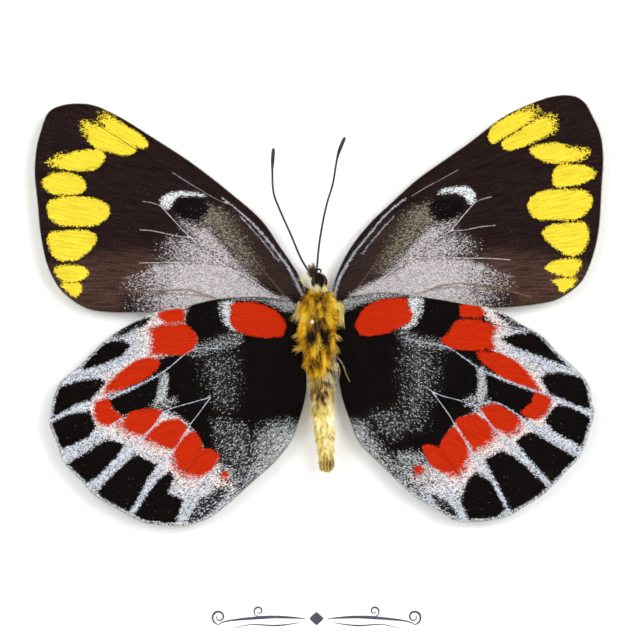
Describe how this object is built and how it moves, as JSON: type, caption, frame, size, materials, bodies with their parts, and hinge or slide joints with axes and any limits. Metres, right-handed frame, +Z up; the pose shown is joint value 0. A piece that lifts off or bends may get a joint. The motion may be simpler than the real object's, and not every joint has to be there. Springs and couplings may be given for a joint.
{
  "type": "framed butterfly specimen",
  "caption": "Dry butterfly with spread wings, underside showing, on white card in a glazed deep wooden box frame.",
  "frame": {"origin": "middle of the frame's bottom edge face, on the surface it stands on, half-way through its depth", "axes": "+X to the viewer's right across the glass, +Y from the glass to the back, +Z up"},
  "size_m": [0.152, 0.032, 0.127],
  "materials": {
    "stained_wood": "black-brown stained moulding, satin",
    "front_glass": "clear, polished",
    "white_card": "smooth matt white card",
    "backing": "bare fibreboard",
    "kraft_paper": "brown wrapping paper, matt",
    "hanger_brass": "brass-plated steel, satin",
    "bumper_felt": "black felt",
    "forewing": "scaled wing membrane, blackish brown with yellow spots",
    "hindwing": "scaled wing membrane, black, red and bluish white",
    "thorax_fur": "golden yellow fur",
    "abdomen_skin": "pale yellow scaled segments with a brown tip",
    "head_dark": "dark brown fur",
    "eye": "dark red-brown, glossy",
    "antenna": "blackish brown, ringed",
    "leg": "pale straw, thin",
    "glue": "clear yellowish glue"
  },
  "bodies": {
    "root": {"rail_top": "stained_wood", "spacer_top": "white_card", "rail_bottom": "stained_wood", "spacer_bottom": "white_card", "rail_left": "stained_wood", "spacer_left": "white_card", "rail_right": "stained_wood", "spacer_right": "white_card", "glass": "front_glass", "mount_card": "white_card", "backing_board": "backing", "dust_cover": "kraft_paper", "hanger_plate": "hanger_brass", "hanger_nail_left": "hanger_brass", "hanger_nail_right": "hanger_brass", "bumper_left": "bumper_felt", "bumper_right": "bumper_felt", "forewing_left": "forewing", "forewing_right": "forewing", "hindwing_left": "hindwing", "hindwing_right": "hindwing", "head": "head_dark", "eye_left": "eye", "eye_right": "eye", "palp_left": "head_dark", "palp_right": "head_dark", "proboscis": "antenna", "antenna_left": "antenna", "antenna_right": "antenna", "thorax": "thorax_fur", "abdomen": "abdomen_skin", "leg_fore_left": "leg", "leg_fore_right": "leg", "leg_mid_left": "leg", "leg_mid_right": "leg", "leg_hind_left": "leg", "leg_hind_right": "leg", "glue_spot": "glue"}
  },
  "joints": []
}
